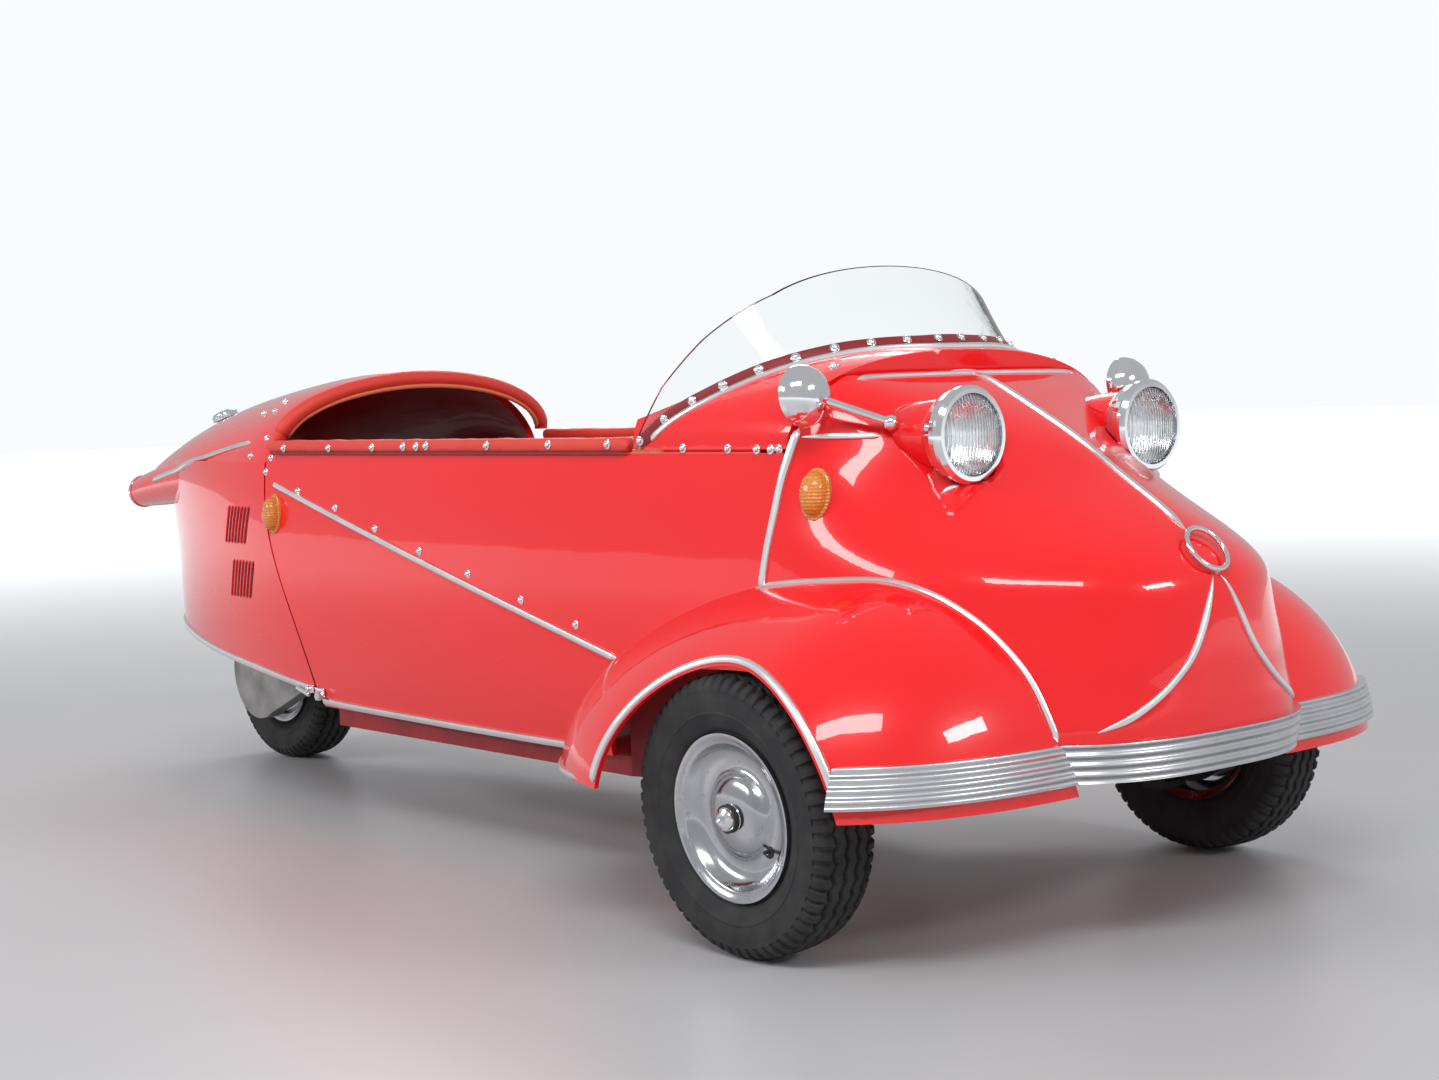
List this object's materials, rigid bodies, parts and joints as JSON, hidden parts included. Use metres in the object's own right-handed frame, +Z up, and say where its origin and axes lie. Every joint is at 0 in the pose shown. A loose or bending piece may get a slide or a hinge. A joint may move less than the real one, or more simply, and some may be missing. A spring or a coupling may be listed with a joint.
{
  "type": "three-wheel bubble car",
  "caption": "Open tandem cabin scooter with a rounded nose, wide front fenders, a low windscreen, a swinging cowl and a tapered lifting tail.",
  "frame": {"origin": "on the floor, under the middle of the vehicle in length and in width", "axes": "+Z up, the nose points to -Y, the vehicle's left side is +X"},
  "size_m": [1.1716, 2.8066, 0.9232],
  "materials": {
    "body_red": "glossy paint",
    "floor_red": "satin paint",
    "edging_red": "soft vinyl",
    "alloy": "polished",
    "chrome": "polished",
    "clear_glass": "clear",
    "red_lens": "moulded lens",
    "tyre": "matt rubber",
    "rubber": "matt rubber",
    "wheel_silver": "silver lacquer",
    "dark_steel": "black paint",
    "cast_alloy": "as cast",
    "black_plastic": "satin",
    "seat_cloth": "ribbed cloth"
  },
  "bodies": {
    "body": {"arch_liner_left": "floor_red", "arch_liner_right": "floor_red", "belt_edging": "edging_red", "bumper_strip": "alloy", "dashboard": "floor_red", "engine_block": "cast_alloy", "exhaust": "dark_steel", "fender_left": "body_red", "fender_right": "body_red", "floor_pan": "floor_red", "front_axle": "dark_steel", "headlamp_lenses": "clear_glass", "headlamp_rims": "chrome", "mirrors": "chrome", "nose_shell": "body_red", "pedals": "rubber", "rear_bulkhead": "floor_red", "rear_frame": "dark_steel", "rear_hoop": "edging_red", "seat_frames": "dark_steel", "seat_front_back": "seat_cloth", "seat_front_cushion": "seat_cloth", "seat_rear_back": "seat_cloth", "seat_rear_cushion": "seat_cloth", "side_panel_left": "body_red", "side_panel_right": "body_red", "steering_box": "dark_steel", "swing_arm": "cast_alloy"},
    "tail": {"tail_shell": "body_red", "tail_lamp_rims": "chrome", "tail_lamp_lenses": "red_lens"},
    "lid": {"cowl_lid": "body_red", "windscreen": "clear_glass"},
    "knuckle_left": {"knuckle_left": "dark_steel"},
    "knuckle_right": {"knuckle_right": "dark_steel"},
    "steering_arm": {"steering_arm": "dark_steel"},
    "steering_bar": {"steering_bar": "black_plastic"},
    "track_rod_left": {"track_rod_left": "dark_steel"},
    "track_rod_right": {"track_rod_right": "dark_steel"},
    "front_wheel_left": {"tyre_front_left": "tyre", "wheel_front_left": "wheel_silver"},
    "front_wheel_right": {"tyre_front_right": "tyre", "wheel_front_right": "wheel_silver"},
    "rear_wheel": {"tyre_rear": "tyre", "wheel_rear": "wheel_silver"}
  },
  "joints": [
    {"name": "steer_left", "type": "hinge", "parent": "body", "child": "knuckle_left", "pos_m": [0.385, -0.9907, 0.262], "axis": [0, 0, 1], "range_deg": [-28, 28]},
    {"name": "steer_right", "type": "hinge", "parent": "body", "child": "knuckle_right", "pos_m": [-0.385, -0.9907, 0.262], "axis": [0, 0, 1], "range_deg": [-28, 28]},
    {"name": "steering_arm_turn", "type": "hinge", "parent": "body", "child": "steering_arm", "pos_m": [0, -1.1507, 0.262], "axis": [0, 0, 1], "range_deg": [-28, 28]},
    {"name": "steering_bar_turn", "type": "hinge", "parent": "body", "child": "steering_bar", "pos_m": [0, -1.1407, 0.35], "axis": [0, 0.816, 0.578], "range_deg": [-28, 28]},
    {"name": "track_rod_left_pivot", "type": "hinge", "parent": "knuckle_left", "child": "track_rod_left", "pos_m": [0.385, -1.1107, 0.262], "axis": [0, 0, 1], "range_deg": [-28, 28]},
    {"name": "track_rod_right_pivot", "type": "hinge", "parent": "knuckle_right", "child": "track_rod_right", "pos_m": [-0.385, -1.1107, 0.262], "axis": [0, 0, 1], "range_deg": [-28, 28]},
    {"name": "front_wheel_left_spin", "type": "hinge", "parent": "knuckle_left", "child": "front_wheel_left", "pos_m": [0.475, -0.9907, 0.19037], "axis": [0.9986, 0, -0.0523], "continuous": true},
    {"name": "front_wheel_right_spin", "type": "hinge", "parent": "knuckle_right", "child": "front_wheel_right", "pos_m": [-0.475, -0.9907, 0.19037], "axis": [0.9986, 0, 0.0523], "continuous": true},
    {"name": "rear_wheel_spin", "type": "hinge", "parent": "body", "child": "rear_wheel", "pos_m": [0, 1.0393, 0.19], "axis": [1, 0, 0], "continuous": true},
    {"name": "tail_lift", "type": "hinge", "parent": "body", "child": "tail", "pos_m": [0, 0.5243, 0.795], "axis": [1, 0, 0], "range_deg": [0, 50]},
    {"name": "lid_swing", "type": "hinge", "parent": "body", "child": "lid", "pos_m": [-0.335, -0.7407, 0.657], "axis": [0, -1, 0], "range_deg": [0, 75]}
  ],
  "couplings": [
    {"joint": "steer_right", "follows": "steer_left", "ratio": 1},
    {"joint": "steering_arm_turn", "follows": "steer_left", "ratio": 1},
    {"joint": "steering_bar_turn", "follows": "steer_left", "ratio": 1},
    {"joint": "track_rod_left_pivot", "follows": "steer_left", "ratio": -1},
    {"joint": "track_rod_right_pivot", "follows": "steer_left", "ratio": -1}
  ]
}
